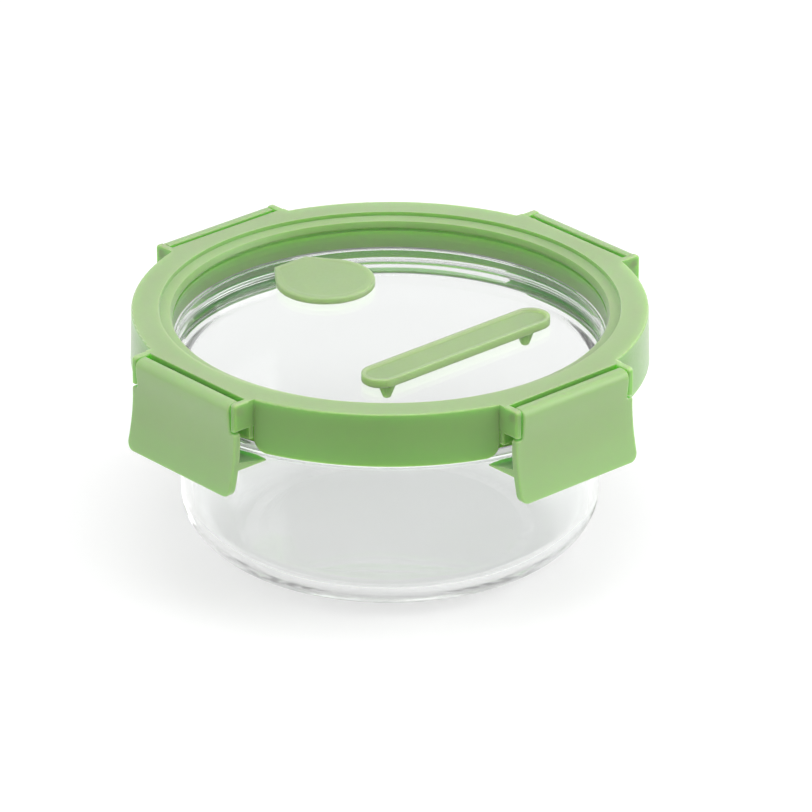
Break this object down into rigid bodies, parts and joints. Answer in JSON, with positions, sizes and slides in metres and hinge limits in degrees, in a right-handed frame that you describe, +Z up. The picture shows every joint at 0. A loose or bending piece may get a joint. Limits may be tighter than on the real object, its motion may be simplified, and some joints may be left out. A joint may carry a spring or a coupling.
{
  "type": "snap lid food container",
  "caption": "Round glass food container with a plastic ring lid, a clear window, snap clips, a silicone vent flap and a silicone strip.",
  "frame": {"origin": "centre of the container's base, on the surface it stands on", "axes": "+Z up; the front clip is on -Y, the right clip on +X, the back clip on +Y, the left clip on -X; the vent flap is on the left and the strip on the right"},
  "size_m": [0.182, 0.182, 0.0815],
  "materials": {
    "glass": "polished clear borosilicate glass",
    "green_plastic": "satin moulded polypropylene",
    "window_plastic": "polished clear plastic",
    "gasket_silicone": "translucent white silicone",
    "green_silicone": "matt silicone"
  },
  "bodies": {
    "bowl": {"glass_bowl": "glass"},
    "lid": {"lid_frame": "green_plastic", "lid_window": "window_plastic", "lid_gasket": "gasket_silicone"},
    "front_clip_body": {"front_clip": "green_plastic"},
    "right_clip_body": {"right_clip": "green_plastic"},
    "back_clip_body": {"back_clip": "green_plastic"},
    "left_clip_body": {"left_clip": "green_plastic"},
    "vent_flap_body": {"vent_flap": "green_silicone"},
    "lid_strip_body": {"lid_strip": "green_silicone"}
  },
  "joints": [
    {"name": "lid_lift", "type": "slide", "parent": "bowl", "child": "lid", "axis": [0, 0, 1], "range_m": [0, 0.015]},
    {"name": "right_clip_hinge", "type": "hinge", "parent": "lid", "child": "right_clip_body", "pos_m": [0.0856, 0, 0.0786], "axis": [0, -1, 0], "range_deg": [0, 120]},
    {"name": "back_clip_hinge", "type": "hinge", "parent": "lid", "child": "back_clip_body", "pos_m": [0, 0.0856, 0.0786], "axis": [1, 0, 0], "range_deg": [0, 120]},
    {"name": "left_clip_hinge", "type": "hinge", "parent": "lid", "child": "left_clip_body", "pos_m": [-0.0856, 0, 0.0786], "axis": [0, 1, 0], "range_deg": [0, 120]},
    {"name": "front_clip_hinge", "type": "hinge", "parent": "lid", "child": "front_clip_body", "pos_m": [0, -0.0856, 0.0786], "axis": [-1, 0, 0], "range_deg": [0, 120]},
    {"name": "vent_flap_hinge", "type": "hinge", "parent": "lid", "child": "vent_flap_body", "pos_m": [-0.0507, 0.0008, 0.0774], "axis": [0, -1, 0], "range_deg": [0, 70]},
    {"name": "strip_pull", "type": "slide", "parent": "lid", "child": "lid_strip_body", "axis": [0, 0, 1], "range_m": [0, 0.009]}
  ],
  "couplings": [
    {"joint": "right_clip_hinge", "follows": "lid_lift", "rad_per_m": 139.6},
    {"joint": "back_clip_hinge", "follows": "lid_lift", "rad_per_m": 139.6},
    {"joint": "left_clip_hinge", "follows": "lid_lift", "rad_per_m": 139.6},
    {"joint": "front_clip_hinge", "follows": "lid_lift", "rad_per_m": 139.6}
  ]
}
